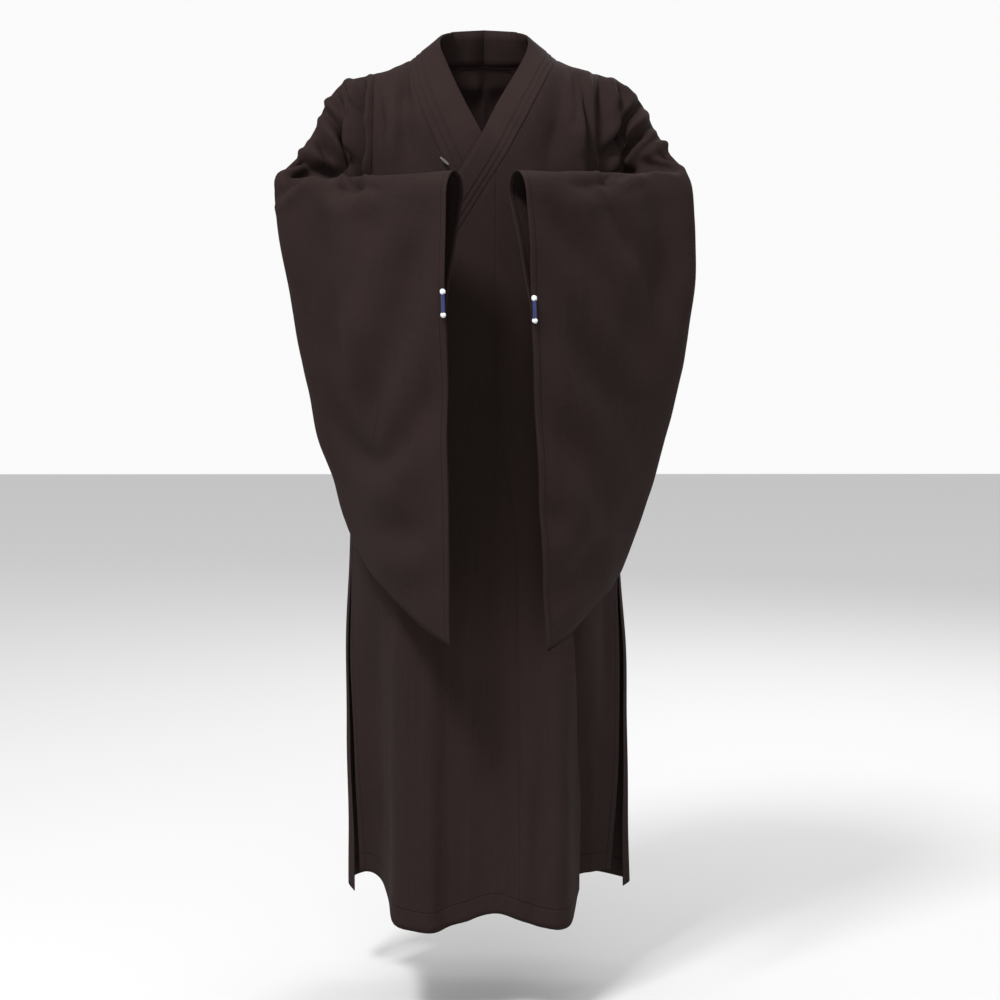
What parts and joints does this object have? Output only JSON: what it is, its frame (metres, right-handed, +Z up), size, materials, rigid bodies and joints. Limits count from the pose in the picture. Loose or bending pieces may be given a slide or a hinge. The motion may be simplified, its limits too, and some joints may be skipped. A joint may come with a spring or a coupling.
{
  "type": "monk robe",
  "caption": "Long wide-sleeved monk robe with a crossed three-layer collar band, side slits and bag sleeves held forward, worn closed and hollow.",
  "frame": {"origin": "middle of the neck opening on the shoulder line, where the wearer holds the robe up", "axes": "+Z up, +X to the wearer's left, the front of the robe faces -Y"},
  "size_m": [0.6181, 0.4938, 1.3527],
  "materials": {
    "robe_cloth": "smooth matt plain weave, very dark warm brown",
    "tie_blue": "matt woven cord",
    "knot_white": "matt thread"
  },
  "bodies": {
    "root": {"body_left": "robe_cloth", "body_right": "robe_cloth", "front_overlap": "robe_cloth", "collar_over": "robe_cloth", "collar_under": "robe_cloth", "sleeve_left": "robe_cloth", "sleeve_right": "robe_cloth", "cuff_tie_left": "tie_blue", "cuff_tie_left_knot_top": "knot_white", "cuff_tie_left_knot_low": "knot_white", "cuff_tie_right": "tie_blue", "cuff_tie_right_knot_top": "knot_white", "cuff_tie_right_knot_low": "knot_white", "collar_loop": "knot_white"}
  },
  "joints": []
}
